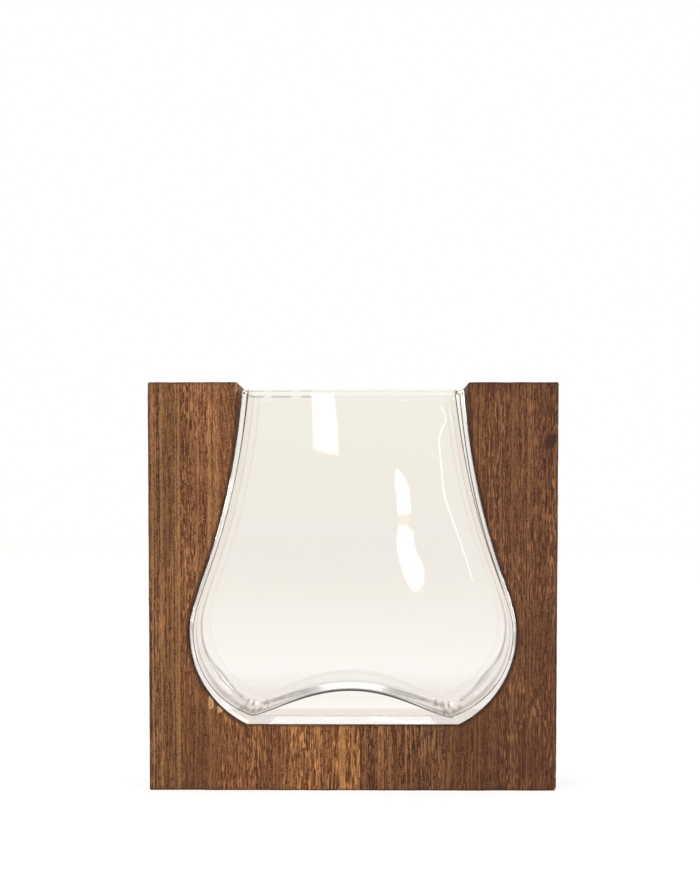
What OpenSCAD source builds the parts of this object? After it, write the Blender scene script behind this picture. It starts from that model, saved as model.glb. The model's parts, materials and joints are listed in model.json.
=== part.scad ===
// Framed glass vase: a flat-sided glass vase that stands in a cut-out of its own outline, sawn right
// through an upright block of glued wooden staves. The glass slides out to the front or the back.
// The origin is the centre of the block's underside, +Z is up, and the front face looks along -Y.

/* [Glass outline] */
// Height of the glass from its foot to its rim
vase_h = 166.8; // [130:0.1:210]
// Depth of the glass from front to back
vase_d = 48; // [36:0.5:64]
// Width across the glass at its rim
rim_w = 109.2; // [84:0.1:138]
// Width across the glass at its widest, the belly
belly_w = 162.8; // [134:0.1:210]
// Width across the flat foot
foot_w = 104.8; // [76:0.1:130]
// Height of the widest place above the foot
belly_h = 46.1; // [34:0.1:62]

/* [Glass walls] */
// Thickness of the flat front and back walls
face_wall = 2.5; // [1.6:0.1:4]
// Thickness of the side walls at the rim
rim_wall = 3.2; // [2:0.1:5]
// Thickness of the side walls at the belly and below
belly_wall = 2; // [1.4:0.1:4]
// Thickness of the foot at the two troughs beside the hump
trough_floor = 3.4; // [2:0.1:6]
// Thickness of the foot at the top of the hump
crest_floor = 16.6; // [10:0.1:22]
// Radius of the rounded edges round the front and back faces
glass_edge_r = 1.2; // [0.6:0.1:3]
// Radius inside the corners of the hollow
hollow_r = 1.8; // [1:0.1:3.5]

/* [Wooden block] */
// Wood left beside the belly, at the narrowest place of each side
waist_w = 19.5; // [12:0.1:32]
// Height of the sill that the glass stands on
sill_h = 33; // [20:0.1:50]
// Height of the block's top above the rim of the glass
rim_drop = 3.2; // [1:0.1:12]
// How far the glass stands back from the front face and from the back face
face_setback = 1.4; // [0.5:0.1:6]
// Radius of the eased outer edges
eased_r = 0.9; // [0.3:0.1:2]
// Radius of the worn corners where the cut-out meets the top
slot_corner_r = 1.4; // [0.5:0.1:2.5]

/* [Fit] */
// Clearance between the glass and the cut-out round the belly
fit_gap = 0.6; // [0.4:0.1:2]
// Clearance between the glass and the cut-out at the rim
neck_gap = 2; // [1:0.1:4]

/* [Hidden] */

// How far cuts run past what they cut
overrun = 2;

// Half sizes of the glass
rim_half = rim_w / 2;
belly_half = belly_w / 2;
foot_half = foot_w / 2;
depth_half = vase_d / 2;
hollow_depth_half = depth_half - face_wall;

// Lower flank: a quarter ellipse that the foot cuts off. Its height follows the belly height.
ellipse_height_share = 1.1;
ellipse_h = belly_h * ellipse_height_share;
foot_angle = acos(1 / ellipse_height_share);
ellipse_w = (belly_half - foot_half) / (1 - sin(foot_angle));
ellipse_x = belly_half - ellipse_w;

// Upper flank: one cubic curve from the belly, where it stands upright, to the leaning rim
belly_pull_share = 0.17;
neck_pull_share = 0.64;
neck_lean_share = 0.09;
flank_h = vase_h - belly_h;
neck_pull = flank_h * neck_pull_share;
flank_curve = [
    [belly_half, belly_h],
    [belly_half, belly_h + flank_h * belly_pull_share],
    [rim_half + neck_pull * neck_lean_share, vase_h - neck_pull],
    [rim_half, vase_h]
];

// How many steps the two flanks and each rounded corner take
lower_steps = 9;
upper_steps = 13;
corner_steps = 3;

// Rounded lip: how far in and how far up each step goes, in shares of the wall's half thickness
lip_in_shares = [0, 0.13, 0.5, 0.84];
lip_up_shares = [0, 0.5, 0.87, 1];

// The hump of the inner floor falls away from its crest as this power
hump_power_share = 1.2;
hump_steps = 20;

// The clearance starts to widen towards the rim at this share of the glass height
gap_start_share = 0.75;

// Wooden block
block_w = belly_w + 2 * (fit_gap + waist_w);
block_h = sill_h + vase_h + rim_drop;
block_d = vase_d + 2 * face_setback;
belly_cut = belly_half + fit_gap;
neck_cut = rim_half + neck_gap;
split_z = sill_h + belly_h;

// Glue lines, left to right. Each follows the piece of the outline that it crosses.
outer_left_share = 0.167;
neck_left_share = 0.35;
foot_line_shares = [-0.681, 0.07, 0.544, 0.876];
neck_right_share = 0.402;
glue_lines = [
    -block_w / 2,
    -belly_cut - waist_w * outer_left_share,
    -neck_cut - (belly_cut - neck_cut) * neck_left_share,
    foot_half * foot_line_shares[0],
    foot_half * foot_line_shares[1],
    foot_half * foot_line_shares[2],
    foot_half * foot_line_shares[3],
    neck_cut + (belly_cut - neck_cut) * neck_right_share,
    block_w / 2
];

// Colours of the staves, left to right, and of the glass
stave_colours = [
    [0.55, 0.36, 0.2], [0.47, 0.3, 0.16], [0.52, 0.34, 0.19], [0.56, 0.37, 0.21],
    [0.4, 0.25, 0.14], [0.46, 0.29, 0.17], [0.4, 0.24, 0.15], [0.37, 0.22, 0.13]
];
glass_colour = [0.86, 0.93, 0.92, 0.4];

// A point of a cubic curve and the curve's direction there
function curve_point(c, t) =
    c[0] * pow(1 - t, 3) + 3 * c[1] * pow(1 - t, 2) * t + 3 * c[2] * (1 - t) * t * t + c[3] * pow(t, 3);
function curve_way(c, t) =
    (c[1] - c[0]) * pow(1 - t, 2) + 2 * (c[2] - c[1]) * (1 - t) * t + (c[3] - c[2]) * t * t;

// A place on the flank is [half width, height, outward normal's x, outward normal's z]
function place(p, way) = [p.x, p.y, way.y / norm(way), -way.x / norm(way)];
function lower_place(a) = place(
    [ellipse_x + ellipse_w * sin(a), belly_h - ellipse_h * cos(a)],
    [ellipse_w * cos(a), ellipse_h * sin(a)]
);
function upper_place(t) = place(curve_point(flank_curve, t), curve_way(flank_curve, t));
lower_flank = [
    for (i = [0 : lower_steps]) lower_place(foot_angle + (90 - foot_angle) * i / lower_steps)
];
upper_flank = [for (i = [1 : upper_steps]) upper_place(i / upper_steps)];
flank = concat(lower_flank, upper_flank);

// Half width of the lower flank at a height, and how far the flank's wall reaches sideways there
function ellipse_rise(z) = sqrt(1 - pow((belly_h - z) / ellipse_h, 2));
function lower_half(z) = ellipse_x + ellipse_w * ellipse_rise(z);
function lower_reach(z) = norm([1, ellipse_w * (belly_h - z) / (ellipse_h * ellipse_h * ellipse_rise(z))]);

// Side wall thickness at a height: even up to the belly, then growing to the rim
function side_wall(z) = belly_wall + (rim_wall - belly_wall) * max(0, z - belly_h) / flank_h;

// Half width of the hollow where the flat bottom of its troughs lies
trough_half = lower_half(trough_floor) - belly_wall * lower_reach(trough_floor);

// One ring of a loft: a rounded rectangle at height z
function ring(half_w, half_d, r, z) = [
    for (q = [0 : 3], i = [0 : corner_steps])
        let (a = q * 90 + i * 90 / corner_steps)
        let (side_x = q == 0 || q == 3 ? 1 : -1)
        let (side_y = q < 2 ? 1 : -1)
        [side_x * (half_w - r) + r * cos(a), side_y * (half_d - r) + r * sin(a), z]
];

// A closed solid through rings that have the same number of points
module loft(rings) {
    n = len(rings[0]);
    top = len(rings) - 1;
    sides = [
        for (k = [0 : top - 1], i = [0 : n - 1])
            let (j = (i + 1) % n)
            each [
                [k * n + i, (k + 1) * n + i, (k + 1) * n + j],
                [k * n + i, (k + 1) * n + j, k * n + j]
            ]
    ];
    bottom_cap = [for (i = [0 : n - 1]) i];
    top_cap = [for (i = [n - 1 : -1 : 0]) top * n + i];
    polyhedron(points = [for (r = rings) each r], faces = concat([bottom_cap], [top_cap], sides));
}

// Outside of the glass: foot, flanks and the outer half of the rounded lip
module glass_outside() {
    foot_ring = ring(foot_half, depth_half - glass_edge_r / 2, glass_edge_r / 2, 0);
    low_ring = ring(lower_half(glass_edge_r / 2), depth_half, glass_edge_r, glass_edge_r / 2);
    flank_rings = [
        for (p = flank)
            if (p.y > glass_edge_r && p.y < vase_h - rim_wall) ring(p.x, depth_half, glass_edge_r, p.y)
    ];
    lip_rings = [
        for (i = [0 : len(lip_in_shares) - 1])
            let (z = vase_h - (1 - lip_up_shares[i]) * rim_wall / 2)
            let (side_in = lip_in_shares[i] * rim_wall / 2)
            let (face_in = lip_in_shares[i] * face_wall / 2)
            ring(
                rim_half + (vase_h - z) * neck_lean_share - side_in,
                depth_half - face_in,
                glass_edge_r - face_in / 2,
                z
            )
    ];
    loft(concat([foot_ring, low_ring], flank_rings, lip_rings));
}

// The hollow, with its flat trough bottom and the inner half of the rounded lip
module glass_hollow() {
    trough_ring = ring(
        trough_half - hollow_r / 2, hollow_depth_half - hollow_r / 2, hollow_r / 2, trough_floor
    );
    low_z = trough_floor + hollow_r / 2;
    low_ring = ring(
        lower_half(low_z) - belly_wall * lower_reach(low_z), hollow_depth_half, hollow_r, low_z
    );
    flank_rings = [
        for (p = flank)
            if (p.y > low_z + hollow_r / 2 && p.y < vase_h - rim_wall)
                ring(p.x - side_wall(p.y) / p[2], hollow_depth_half, hollow_r, p.y)
    ];
    lip_rings = [
        for (i = [0 : len(lip_in_shares) - 1])
            let (z = vase_h - (1 - lip_up_shares[i]) * rim_wall / 2)
            let (side_out = lip_in_shares[i] * rim_wall / 2)
            let (face_out = lip_in_shares[i] * face_wall / 2)
            ring(
                rim_half + (vase_h - z) * neck_lean_share - rim_wall + side_out,
                hollow_depth_half + face_out,
                hollow_r,
                z
            )
    ];
    top_ring = [for (p = lip_rings[len(lip_rings) - 1]) p + [0, 0, overrun]];
    loft(concat([trough_ring, low_ring], flank_rings, lip_rings, [top_ring]));
}

// The hump of the inner floor, which runs straight from the front wall to the back wall
module floor_hump() {
    rise = crest_floor - trough_floor;
    crown = [
        for (i = [-hump_steps : hump_steps])
            let (share = i / hump_steps)
            [share * trough_half, trough_floor + rise * pow(1 - share * share, hump_power_share)]
    ];
    base = [[trough_half, trough_floor / 2], [-trough_half, trough_floor / 2]];
    hump_d = vase_d - face_wall;
    translate([0, hump_d / 2, 0])
        rotate([90, 0, 0])
            linear_extrude(height = hump_d)
                polygon(concat(crown, base));
}

module glass_vase() {
    color(glass_colour)
        translate([0, 0, sill_h])
            union() {
                difference() {
                    glass_outside();
                    glass_hollow();
                }
                floor_hump();
            }
}

// Rectangle with rounded corners, centred on x and standing on its lower edge
module eased_rectangle(w, h, r) {
    translate([-w / 2 + r, 0])
        square([w - 2 * r, h]);
    translate([-w / 2, r])
        square([w, h - 2 * r]);
    for (x = [-w / 2 + r, w / 2 - r], y = [r, h - r])
        translate([x, y])
            circle(r = r, $fn = 32);
}

// The glued block before sawing: eased along all its outer edges
module whole_block() {
    intersection() {
        translate([0, block_d / 2, 0])
            rotate([90, 0, 0])
                linear_extrude(height = block_d)
                    eased_rectangle(block_w, block_h, eased_r);
        translate([0, -block_d / 2, 0])
            linear_extrude(height = block_h)
                eased_rectangle(block_w, block_d, eased_r);
        translate([-block_w / 2, 0, 0])
            rotate([90, 0, 90])
                linear_extrude(height = block_w)
                    eased_rectangle(block_d, block_h, eased_r);
    }
}

// Clearance round the glass at a height above the sill
function cut_gap(z) =
    let (start = vase_h * gap_start_share)
    fit_gap + (neck_gap - fit_gap) * max(0, z - start) / (vase_h - start);

// Outline of the cut-out above the sill, with worn corners where it meets the block's top
module cut_outline() {
    flank_side = [for (p = flank) [p.x + cut_gap(p.y) * p[2], p.y + cut_gap(p.y) * p[3]]];
    worn_side = [
        for (i = [0 : corner_steps])
            let (a = i * 90 / corner_steps)
            [
                neck_cut + slot_corner_r * (1 - cos(a)),
                vase_h + rim_drop - slot_corner_r * (1 - sin(a))
            ]
    ];
    top_side = [[neck_cut + slot_corner_r, vase_h + rim_drop + overrun]];
    right_side = concat(flank_side, worn_side, top_side);
    left_side = [for (i = [len(right_side) - 1 : -1 : 0]) [-right_side[i].x, right_side[i].y]];
    intersection() {
        polygon(concat(right_side, left_side));
        translate([-block_w / 2, 0])
            square([block_w, vase_h + rim_drop + 2 * overrun]);
    }
}

module cut_out() {
    translate([0, block_d / 2 + overrun, sill_h])
        rotate([90, 0, 0])
            linear_extrude(height = block_d + 2 * overrun)
                cut_outline();
}

// The stave between two neighbouring glue lines, from z_low to z_high, after sawing
module stave(index, z_low = 0, z_high = block_h) {
    x = glue_lines[index];
    w = glue_lines[index + 1] - x;
    color(stave_colours[index])
        difference() {
            intersection() {
                whole_block();
                translate([x, -block_d / 2, z_low])
                    cube([w, block_d, z_high - z_low]);
            }
            cut_out();
        }
}

module left_edge_stave() { stave(0); }
module left_flank_stave() { stave(1); }
module left_neck_stave() { stave(2, z_low = split_z); }
module left_foot_stave() { stave(2, z_high = split_z); }
module sill_left_stave() { stave(3, z_high = split_z); }
module sill_centre_stave() { stave(4, z_high = split_z); }
module sill_right_stave() { stave(5, z_high = split_z); }
module right_foot_stave() { stave(6, z_high = split_z); }
module right_neck_stave() { stave(6, z_low = split_z); }
module right_edge_stave() { stave(7); }

left_edge_stave();
left_flank_stave();
left_neck_stave();
left_foot_stave();
sill_left_stave();
sill_centre_stave();
sill_right_stave();
right_foot_stave();
right_neck_stave();
right_edge_stave();
glass_vase();
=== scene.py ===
"""The looks of a framed glass vase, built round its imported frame.

Lengths are in metres. The origin is the centre of the block's underside, +Z is up, and the front
face looks along -Y. Heights in the glass outline are counted from the foot of the glass.
"""
import json
import math
from collections import namedtuple

import bmesh
import bpy
import numpy as np
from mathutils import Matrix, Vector


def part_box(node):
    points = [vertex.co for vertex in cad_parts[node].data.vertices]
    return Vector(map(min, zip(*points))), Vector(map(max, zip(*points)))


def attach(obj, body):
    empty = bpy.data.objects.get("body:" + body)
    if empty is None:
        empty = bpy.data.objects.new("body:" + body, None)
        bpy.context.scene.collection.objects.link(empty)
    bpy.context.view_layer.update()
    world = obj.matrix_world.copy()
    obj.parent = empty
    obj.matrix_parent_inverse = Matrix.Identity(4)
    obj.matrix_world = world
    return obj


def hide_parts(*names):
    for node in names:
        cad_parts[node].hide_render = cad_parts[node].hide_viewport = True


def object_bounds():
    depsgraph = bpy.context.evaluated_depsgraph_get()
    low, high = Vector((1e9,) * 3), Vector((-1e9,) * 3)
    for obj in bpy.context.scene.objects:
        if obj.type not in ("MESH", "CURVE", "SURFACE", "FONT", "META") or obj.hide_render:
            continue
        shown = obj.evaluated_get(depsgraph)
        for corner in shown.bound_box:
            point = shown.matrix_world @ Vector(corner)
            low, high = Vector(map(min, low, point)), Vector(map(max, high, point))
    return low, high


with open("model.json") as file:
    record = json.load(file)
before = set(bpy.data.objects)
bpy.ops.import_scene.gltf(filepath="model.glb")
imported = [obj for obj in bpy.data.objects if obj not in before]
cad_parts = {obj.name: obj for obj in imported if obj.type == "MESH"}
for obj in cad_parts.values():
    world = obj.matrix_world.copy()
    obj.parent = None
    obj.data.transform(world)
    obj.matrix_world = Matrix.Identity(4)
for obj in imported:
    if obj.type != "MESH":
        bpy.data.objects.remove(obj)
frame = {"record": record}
cad_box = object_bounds()

MM = 0.001

# Sizes taken from the frame
block_high = cad_box[1]
glass_low, glass_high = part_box("glass_vase")
BLOCK_HALF = block_high.x
BLOCK_FACE = block_high.y
BLOCK_TOP = block_high.z
FOOT_Z = glass_low.z
VASE_H = glass_high.z - glass_low.z
BELLY_HALF = glass_high.x
DEPTH_HALF = glass_high.y

# Outline of the glass and of the cut-out, as in the CAD source
RIM_HALF = 54.6 * MM
FOOT_HALF = 52.4 * MM
BELLY_H = 46.1 * MM
ELLIPSE_HEIGHT_SHARE = 1.1
BELLY_PULL_SHARE = 0.17
NECK_PULL_SHARE = 0.64
NECK_LEAN_SHARE = 0.09
FIT_GAP = 0.6 * MM
NECK_GAP = 2.0 * MM
GAP_START_SHARE = 0.75
SLOT_CORNER_R = 1.4 * MM


def srgb(r, g, b):
    """A colour picked as 0 to 255 sRGB, as linear light with full alpha."""
    def line(c):
        c = c / 255
        return c / 12.92 if c <= 0.04045 else ((c + 0.055) / 1.055) ** 2.4
    return line(r), line(g), line(b), 1.0


def smooth(t):
    """Smooth step from 0 to 1."""
    t = np.clip(t, 0, 1)
    return t * t * (3 - 2 * t)


def rise(value, span):
    """Smooth step from 0 to 1 over a span, given as its start and its reach."""
    start, reach = span
    return smooth((value - start) / reach)


LATTICE = 64


def noise(points, cell, seed):
    """Smooth seeded random values from -1 to 1, with one cell size or one for each direction.

    Constants whose names end in NOISE hold the cell size and the seed.
    """
    table = np.random.default_rng(seed).uniform(-1, 1, (LATTICE,) * 3)
    at = np.asarray(points) / np.asarray(cell)
    low = np.floor(at).astype(int)
    part = smooth(at - low)
    total = 0
    for corner in np.ndindex(2, 2, 2):
        share = np.prod(np.where(corner, part, 1 - part), axis=1)
        i, j, k = ((low + corner) % LATTICE).T
        total = total + share * table[i, j, k]
    return total


def mesh_object(name, points, faces):
    """A smooth-shaded mesh object whose faces all look outwards."""
    mesh = bpy.data.meshes.new(name)
    mesh.from_pydata(np.asarray(points).tolist(), [], [tuple(int(i) for i in f) for f in faces])
    mesh.validate()
    mesh.update()
    turned = bmesh.new()
    turned.from_mesh(mesh)
    bmesh.ops.recalc_face_normals(turned, faces=turned.faces)
    turned.to_mesh(mesh)
    turned.free()
    mesh.shade_smooth()
    obj = bpy.data.objects.new(name, mesh)
    bpy.context.scene.collection.objects.link(obj)
    return obj


def quads(rows, closed=False):
    """Faces between rows of point numbers, which run right round if they are closed."""
    rows = np.asarray(rows)
    after = np.roll(rows, -1, axis=1)
    if not closed:
        rows, after = rows[:, :-1], after[:, :-1]
    return np.stack([rows[:-1], after[:-1], after[1:], rows[1:]], 2).reshape(-1, 4).tolist()


def keep_value(obj, name, values):
    """Keeps one number per point of a mesh for its material."""
    obj.data.attributes.new(name, "FLOAT", "POINT").data.foreach_set("value", np.asarray(values, float))


# Outline of the glass
def outer_flank(count=400):
    """Right flank of the glass from the foot to the rim, as points (x, height)."""
    ellipse_h = BELLY_H * ELLIPSE_HEIGHT_SHARE
    start = math.acos(1 / ELLIPSE_HEIGHT_SHARE)
    ellipse_w = (BELLY_HALF - FOOT_HALF) / (1 - math.sin(start))
    a = np.linspace(start, math.pi / 2, count)
    lower = np.stack([BELLY_HALF - ellipse_w * (1 - np.sin(a)), BELLY_H - ellipse_h * np.cos(a)], 1)
    flank_h = VASE_H - BELLY_H
    pull = flank_h * NECK_PULL_SHARE
    control = np.array([
        [BELLY_HALF, BELLY_H],
        [BELLY_HALF, BELLY_H + flank_h * BELLY_PULL_SHARE],
        [RIM_HALF + pull * NECK_LEAN_SHARE, VASE_H - pull],
        [RIM_HALF, VASE_H],
    ])
    t = np.linspace(0, 1, count)[1:, None]
    upper = (
        control[0] * (1 - t) ** 3 + 3 * control[1] * (1 - t) ** 2 * t
        + 3 * control[2] * (1 - t) * t ** 2 + control[3] * t ** 3
    )
    return np.vstack([lower, upper])


def directions(line):
    """Unit direction of a polyline at each of its points."""
    way = np.gradient(line, axis=0)
    return way / np.linalg.norm(way, axis=1)[:, None]


def sideways(line):
    """Unit direction to the right of a polyline at each of its points."""
    way = directions(line)
    return np.stack([way[:, 1], -way[:, 0]], 1)


def resample(line, count):
    """count points at even steps along a polyline."""
    steps = np.r_[0, np.cumsum(np.linalg.norm(np.diff(line, axis=0), axis=1))]
    at = np.linspace(0, steps[-1], count)
    return np.stack([np.interp(at, steps, line[:, 0]), np.interp(at, steps, line[:, 1])], 1)


# Walls of the glass. The blown wall isn't even: the left side is thinner at the rim.
FACE_WALL = 2.5 * MM
HOLLOW_DEPTH = DEPTH_HALF - FACE_WALL
RIM_WALL = {-1: 2.5 * MM, 1: 3.9 * MM}
BELLY_WALL = {-1: 1.5 * MM, 1: 1.4 * MM}
FOOT_WALL = 4.4 * MM
LIP_H = 0.6 * MM
LIP_SQUARENESS = 0.6
OUTER_EDGE_R = 0.7 * MM
FOOT_LIFT = 0.15 * MM
PAD_HALF = 41.7 * MM

# Radii of the hollow's front and back edges on the flanks, the hump and the troughs
FRONT_R = {"flank": 0.5 * MM, "hump": 1.4 * MM, "trough": 0.5 * MM}
BACK_R = {"flank": 0.3 * MM, "hump": 2.9 * MM, "trough": 1.5 * MM}
NECK_FRONT_R = 0.75 * MM
FOOT_R_SHARE = 0.3

# Changes up the flanks, each as the height where it starts and its reach
FLOOR_TO_FLANK = (12 * MM, 22 * MM)
NECK_ROUNDING = (110 * MM, 60 * MM)
FOOT_ROUNDING = (0, 8 * MM)

# Inner floor: a hump between two troughs, slightly to the left of the middle
HUMP_X = -1.0 * MM
TROUGH_X = {-1: -51.3 * MM, 1: 51.1 * MM}
HUMP_POWER = {-1: 1.45, 1: 1.6}
HUMP_BREADTH = 1.55
HUMP_REACH = 30 * MM
HUMP_TOP_H = 30 * MM
# The back of each lower flank is thicker, most at this height
HEEL_H = 17 * MM
HEEL_REACH = 10 * MM
HEEL_WALL = 2.8 * MM

# Heights above the foot at the front and at the back, the trough's turn, and the heel
FRONT_FLOOR = {"crest": 16.6 * MM, -1: 3.8 * MM, 1: 2.9 * MM, "turn": 2.2 * MM, "heel": 0}
BACK_FLOOR = {"crest": 14.6 * MM, -1: 4.4 * MM, 1: 4.0 * MM, "turn": 6.5 * MM,
              "heel": HEEL_WALL}

SIDE_COUNT = 160
FLOOR_COUNT = 260
FILLET_STEPS = 8
WALL_STEPS = 26
LIP_STEPS = 8


def hollow_flank(side, heel):
    """Wall of the hollow on one side from the lip down, as points (x, height)."""
    flank = outer_flank()
    height = flank[:, 1]
    above = np.clip((height - BELLY_H) / (VASE_H - BELLY_H), 0, 1)
    below = np.clip((BELLY_H - height) / BELLY_H, 0, 1)
    thin = BELLY_WALL[side]
    wall = thin + (RIM_WALL[side] - thin) * above + (FOOT_WALL - thin) * below ** 3
    wall = wall + heel * np.exp(-((height - HEEL_H) / HEEL_REACH) ** 2)
    inner = flank - wall[:, None] * sideways(flank)
    inner = inner[inner[:, 1] < VASE_H - LIP_H]
    return inner[::-1] * np.array([side, 1])


def hollow_half(side, floor):
    """Half of the hollow's outline, from the lip down the flank, round the trough, to the crest.

    Returns its points and the number of the point in the middle of the trough's turn.
    """
    share = np.linspace(0, 1, 200)
    climb = floor["crest"] - floor[side]
    hump_x = HUMP_X + (TROUGH_X[side] - HUMP_X) * share
    hump = np.stack([hump_x, floor[side] + climb * (1 - share ** 2) ** HUMP_POWER[side]], 1)[::-1]
    flank = hollow_flank(side, floor["heel"])
    flank = flank[flank[:, 1] > floor[side] + floor["turn"]]
    hump = hump[side * (hump[:, 0] - TROUGH_X[side]) < -floor["turn"] / 2]
    a, b = flank[-1], hump[0]
    way = directions(flank)[-1]
    corner = a + way * (a[1] - floor[side]) / max(-way[1], 0.1)
    t = np.linspace(0, 1, 30)[1:-1, None]
    turn = a * (1 - t) ** 2 + 2 * corner * (1 - t) * t + b * t ** 2
    return np.vstack([flank, turn, hump]), len(flank) + len(turn) // 2


def hollow_outline(floor):
    """Left side downwards, floor to the right, and right side upwards, as three lines."""
    left, left_corner = hollow_half(-1, floor)
    right, right_corner = hollow_half(1, floor)
    whole = np.vstack([left, right[::-1][1:]])
    second = len(whole) - 1 - right_corner
    return whole[:left_corner + 1], whole[left_corner:second + 1], whole[second:]


def outer_outline():
    """The outside of the glass as the same three lines."""
    flank = outer_flank()
    right = flank[(flank[:, 1] > FOOT_LIFT) & (flank[:, 1] < VASE_H - LIP_H)]
    left = (right * np.array([-1, 1]))[::-1]
    foot = np.array([[-FOOT_HALF, FOOT_LIFT], [FOOT_HALF, FOOT_LIFT]])
    return left, foot, right


def one_line(outline):
    """The three lines of an outline as one, at counts that are the same for every outline."""
    left, floor, right = outline
    left = resample(left, SIDE_COUNT + 1)
    floor = resample(floor, FLOOR_COUNT + 1)
    right = resample(right, SIDE_COUNT + 1)
    return np.vstack([left, floor[1:-1], right])


def hump_share(line):
    """1 on top of the hump, falling to 0 at the troughs."""
    aside = abs(line[:, 0] - HUMP_X) / HUMP_REACH
    return smooth(HUMP_BREADTH - aside) * (line[:, 1] < HUMP_TOP_H)


def floor_share(line):
    """1 on the inner floor, falling to 0 where the flanks begin."""
    return 1 - rise(line[:, 1], FLOOR_TO_FLANK)


def hollow_r(line, radii):
    """Radius of one of the hollow's edges along its outline."""
    flank = radii["flank"]
    on_hump = hump_share(line)
    in_trough = floor_share(line) * (1 - on_hump)
    return flank + (radii["hump"] - flank) * on_hump + (radii["trough"] - flank) * in_trough


def hollow_front_r(line):
    """Radius of the hollow's front edge, which is fuller again at the neck."""
    at_neck = rise(line[:, 1], NECK_ROUNDING)
    return hollow_r(line, FRONT_R) + (NECK_FRONT_R - FRONT_R["flank"]) * at_neck


def hollow_back_r(line):
    """Radius of the hollow's back edge: wide on the hump, small up the flanks."""
    return hollow_r(line, BACK_R)


def outer_r(line):
    """Radius of the outside edges, smaller round the foot."""
    return OUTER_EDGE_R * (FOOT_R_SHARE + (1 - FOOT_R_SHARE) * rise(line[:, 1], FOOT_ROUNDING))


def stations(depth, front_r, back_r):
    """Steps through the depth of a shell as (y, inset from the outline), each an array."""
    angles = np.linspace(0, math.pi / 2, FILLET_STEPS + 1)
    front = [(-depth + front_r * (1 - math.sin(a)), front_r * (1 - math.cos(a))) for a in angles[::-1]]
    back = [(depth - back_r * (1 - math.sin(a)), back_r * (1 - math.cos(a))) for a in angles]
    flat = []
    for share in np.linspace(0, 1, WALL_STEPS + 1)[1:-1]:
        y = front[-1][0] + (back[0][0] - front[-1][0]) * share
        flat.append((y, 0 * y))
    return front + flat + back


# Waves of the faces and marks of blowing: how high they stand, their pitch and their cells
OUTER_WAVE = 0.0012 * MM
SLOW_WAVE = 0.04 * MM
SKEW_WAVE = 0.03 * MM
DRAWN_WAVE = 0.025 * MM
DRAWN_PITCH = 2.6 * MM
DRAWN_SWAY = 21 * MM
DRAWN_FADE = (20 * MM, 60 * MM)
CRINKLE_WAVE = 0.16 * MM
CRINKLE_NOISE = ((0.8 * MM, 16 * MM, 40 * MM), 5)
CRINKLE_INSET = 1.6 * MM
CRINKLE_REACH = 8.5 * MM
CRINKLE_TOP = 16 * MM
STREAK_NOISE = ((3.6 * MM, 45 * MM, 400 * MM), 6)

# Painted shade of the glass, as shares of a near-black surface: along the hollow's edges, folds,
# streaks and lens-like places, and the heights over which it changes
HOLLOW_SHADE = {
    "edge": 0.66, "neck": 0.16, "foot": 0.1, "hump": 0.24, "folds": 0.36, "streaks": 0.3,
    "lens": 0.5, "brink": 0.1,
}
RIGHT_EASE = 0.4
NECK_SHADE = (90 * MM, 70 * MM)
RIGHT_EASE_FROM = (15 * MM, 15 * MM)
RIGHT_EASE_TO = (90 * MM, 40 * MM)
STREAK_FADE = (20 * MM, 70 * MM)
LIP_FADE = 1.4 * MM
LENS_X = (-38.5 * MM, 36.5 * MM)
LENS_REACH = 3.2 * MM
LENS_TOP = 25 * MM
# Painted shade along the outer flanks, as shares of the same dark surface
OUTER_SHADE = {"edge": 0.2, "flat": 0.03, "belly": 0.14, "drawn": 0.07}
OUTER_SHADE_FROM = (3 * MM, 30 * MM)
OUTER_SHADE_EASE = (90 * MM, 40 * MM)
OUTER_DRAWN_PITCH = 2.3 * MM
OUTER_DRAWN_SWAY = 31 * MM
BELLY_SHADE_H = 64 * MM
BELLY_SHADE_REACH = 24 * MM
LENS_ALONG = (1.9, 2.7)
BRINK_ALONG = (2.7, 2.9)

# Bright marks, as shares of mirror
GLEAM = {"hump": 0.85, "flank": 0.5, "hump top": 0.7, "folds": 0.8}
HUMP_GLEAM_BREADTH = 1.7
GLEAM_START = 1.15
GLEAM_END = 0.01
GLEAM_EDGE = 0.3 * MM
SHEEN = 0.72
LOW_SHEEN = 0.13
HUMP_SHEEN = 0.1
SHEEN_FADE = (80 * MM, 60 * MM)
BAND_MARGIN = 0.05 * MM


def outer_face_wave(x, z, sign):
    """The outside faces are polished nearly flat."""
    broad = np.sin(x / (6.1 * MM) + sign) * np.sin(z / (7.3 * MM) + 2 * sign)
    skew = np.sin((x + 0.7 * z) / (8.2 * MM) + 0.4 * sign) * np.sin((z - 0.4 * x) / (5.7 * MM))
    return OUTER_WAVE * (broad + skew)


def hollow_face_wave(x, z, sign):
    """The inside faces keep the slow waves of blowing."""
    slow = np.sin(x / (17 * MM) + 0.8 * sign) * np.sin(z / (27 * MM) + 0.5)
    skew = np.sin((x + z) / (24 * MM) + 1.7 * sign) * np.sin((x - 0.6 * z) / (31 * MM))
    return SLOW_WAVE * slow + SKEW_WAVE * skew


def plain_wall(line, y):
    """The outer flanks are plain."""
    return np.zeros(len(line))


def crinkles(line, y):
    """Folds of the chilled glass in the two troughs, from -1 to 1, which run front to back."""
    x, height = line[:, 0], line[:, 1]
    near = 0
    for side in (-1, 1):
        reach = np.exp(-((x - TROUGH_X[side] + side * CRINKLE_INSET) / CRINKLE_REACH) ** 4)
        near = near + reach * (height < CRINKLE_TOP)
    return near * noise(np.stack([x, y, height], 1), *CRINKLE_NOISE)


def drawn_streaks(line, y):
    """Streaks drawn out along the flanks as the glass was blown, from -1 to 1."""
    place = np.stack([y + 0 * line[:, 1], line[:, 1], line[:, 0]], 1)
    return noise(place, *STREAK_NOISE)


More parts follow.
